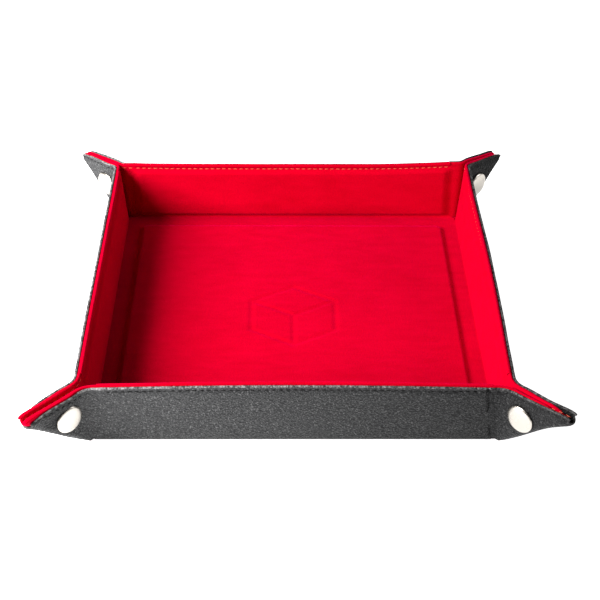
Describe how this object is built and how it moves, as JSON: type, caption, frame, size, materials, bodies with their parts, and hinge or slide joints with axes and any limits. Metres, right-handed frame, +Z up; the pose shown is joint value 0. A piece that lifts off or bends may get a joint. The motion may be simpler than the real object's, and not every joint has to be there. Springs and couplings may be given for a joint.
{
  "type": "folding dice tray",
  "caption": "Square snap-up dice tray: stiffened leather sheet lined with velvet, its walls folded up and corners pinched by snap buttons.",
  "frame": {"origin": "centre of the tray's underside, where the base meets the table", "axes": "+Z up; X and Y along the walls, with the front wall at -Y"},
  "size_m": [0.2356, 0.2356, 0.0338],
  "materials": {
    "leather": "fine pebble grain, satin",
    "velvet": "short velvet pile",
    "board": "grey board, hidden",
    "thread": "polyester sewing thread",
    "cap_metal": "polished nickel plate",
    "snap_metal": "plated pressed steel",
    "spring_wire": "bright wire"
  },
  "bodies": {
    "base": {"base_leather": "leather", "base_board": "board", "base_velvet": "velvet"},
    "front_wall": {"front_wall_leather": "leather", "front_wall_board": "board", "front_wall_velvet": "velvet", "front_wall_seam": "thread"},
    "front_right_ear_front_half": {"front_right_ear_front_half_leather": "leather", "front_right_ear_front_half_velvet": "velvet", "front_right_ear_front_half_snap_cap": "cap_metal", "front_right_ear_front_half_snap_socket": "snap_metal", "front_right_ear_front_half_snap_spring": "spring_wire"},
    "front_right_ear_right_half": {"front_right_ear_right_half_leather": "leather", "front_right_ear_right_half_velvet": "velvet", "front_right_ear_right_half_snap_cap": "cap_metal", "front_right_ear_right_half_snap_stud": "snap_metal"},
    "right_wall": {"right_wall_leather": "leather", "right_wall_board": "board", "right_wall_velvet": "velvet", "right_wall_seam": "thread"},
    "back_right_ear_right_half": {"back_right_ear_right_half_leather": "leather", "back_right_ear_right_half_velvet": "velvet", "back_right_ear_right_half_snap_cap": "cap_metal", "back_right_ear_right_half_snap_socket": "snap_metal", "back_right_ear_right_half_snap_spring": "spring_wire"},
    "back_right_ear_back_half": {"back_right_ear_back_half_leather": "leather", "back_right_ear_back_half_velvet": "velvet", "back_right_ear_back_half_snap_cap": "cap_metal", "back_right_ear_back_half_snap_stud": "snap_metal"},
    "back_wall": {"back_wall_leather": "leather", "back_wall_board": "board", "back_wall_velvet": "velvet", "back_wall_seam": "thread"},
    "back_left_ear_back_half": {"back_left_ear_back_half_leather": "leather", "back_left_ear_back_half_velvet": "velvet", "back_left_ear_back_half_snap_cap": "cap_metal", "back_left_ear_back_half_snap_socket": "snap_metal", "back_left_ear_back_half_snap_spring": "spring_wire"},
    "back_left_ear_left_half": {"back_left_ear_left_half_leather": "leather", "back_left_ear_left_half_velvet": "velvet", "back_left_ear_left_half_snap_cap": "cap_metal", "back_left_ear_left_half_snap_stud": "snap_metal"},
    "left_wall": {"left_wall_leather": "leather", "left_wall_board": "board", "left_wall_velvet": "velvet", "left_wall_seam": "thread"},
    "front_left_ear_left_half": {"front_left_ear_left_half_leather": "leather", "front_left_ear_left_half_velvet": "velvet", "front_left_ear_left_half_snap_cap": "cap_metal", "front_left_ear_left_half_snap_socket": "snap_metal", "front_left_ear_left_half_snap_spring": "spring_wire"},
    "front_left_ear_front_half": {"front_left_ear_front_half_leather": "leather", "front_left_ear_front_half_velvet": "velvet", "front_left_ear_front_half_snap_cap": "cap_metal", "front_left_ear_front_half_snap_stud": "snap_metal"}
  },
  "joints": [
    {"name": "front_wall_fold", "type": "hinge", "parent": "base", "child": "front_wall", "pos_m": [0, -0.0927, 0.0007], "axis": [1, 0, 0], "range_deg": [0, 76]},
    {"name": "front_right_ear_crease", "type": "hinge", "parent": "front_wall", "child": "front_right_ear_front_half", "pos_m": [0.08916, -0.0927, 0.0007], "axis": [0.0868, -0.0868, 0.9924], "range_deg": [0, 40.43]},
    {"name": "front_right_ear_fold", "type": "hinge", "parent": "front_right_ear_front_half", "child": "front_right_ear_right_half", "pos_m": [0.09343, -0.09343, 0.00057], "axis": [-0.5178, 0.5178, -0.6811], "range_deg": [0, 160.95]},
    {"name": "right_wall_fold", "type": "hinge", "parent": "base", "child": "right_wall", "pos_m": [0.0927, 0, 0.0007], "axis": [0, 1, 0], "range_deg": [0, 76]},
    {"name": "back_right_ear_crease", "type": "hinge", "parent": "right_wall", "child": "back_right_ear_right_half", "pos_m": [0.0927, 0.08916, 0.0007], "axis": [0.0868, 0.0868, 0.9924], "range_deg": [0, 40.43]},
    {"name": "back_right_ear_fold", "type": "hinge", "parent": "back_right_ear_right_half", "child": "back_right_ear_back_half", "pos_m": [0.09343, 0.09343, 0.00057], "axis": [-0.5178, -0.5178, -0.6811], "range_deg": [0, 160.95]},
    {"name": "back_wall_fold", "type": "hinge", "parent": "base", "child": "back_wall", "pos_m": [0, 0.0927, 0.0007], "axis": [-1, 0, 0], "range_deg": [0, 76]},
    {"name": "back_left_ear_crease", "type": "hinge", "parent": "back_wall", "child": "back_left_ear_back_half", "pos_m": [-0.08916, 0.0927, 0.0007], "axis": [-0.0868, 0.0868, 0.9924], "range_deg": [0, 40.43]},
    {"name": "back_left_ear_fold", "type": "hinge", "parent": "back_left_ear_back_half", "child": "back_left_ear_left_half", "pos_m": [-0.09343, 0.09343, 0.00057], "axis": [0.5178, -0.5178, -0.6811], "range_deg": [0, 160.95]},
    {"name": "left_wall_fold", "type": "hinge", "parent": "base", "child": "left_wall", "pos_m": [-0.0927, 0, 0.0007], "axis": [0, -1, 0], "range_deg": [0, 76]},
    {"name": "front_left_ear_crease", "type": "hinge", "parent": "left_wall", "child": "front_left_ear_left_half", "pos_m": [-0.0927, -0.08916, 0.0007], "axis": [-0.0868, -0.0868, 0.9924], "range_deg": [0, 40.43]},
    {"name": "front_left_ear_fold", "type": "hinge", "parent": "front_left_ear_left_half", "child": "front_left_ear_front_half", "pos_m": [-0.09343, -0.09343, 0.00057], "axis": [0.5178, 0.5178, -0.6811], "range_deg": [0, 160.95]}
  ],
  "couplings": [
    {"joint": "front_right_ear_crease", "follows": "front_wall_fold", "ratio": 0.53197},
    {"joint": "front_right_ear_fold", "follows": "front_wall_fold", "ratio": 2.1176},
    {"joint": "right_wall_fold", "follows": "front_wall_fold", "ratio": 1},
    {"joint": "back_right_ear_crease", "follows": "front_wall_fold", "ratio": 0.53197},
    {"joint": "back_right_ear_fold", "follows": "front_wall_fold", "ratio": 2.1176},
    {"joint": "back_wall_fold", "follows": "front_wall_fold", "ratio": 1},
    {"joint": "back_left_ear_crease", "follows": "front_wall_fold", "ratio": 0.53197},
    {"joint": "back_left_ear_fold", "follows": "front_wall_fold", "ratio": 2.1176},
    {"joint": "left_wall_fold", "follows": "front_wall_fold", "ratio": 1},
    {"joint": "front_left_ear_crease", "follows": "front_wall_fold", "ratio": 0.53197},
    {"joint": "front_left_ear_fold", "follows": "front_wall_fold", "ratio": 2.1176}
  ]
}
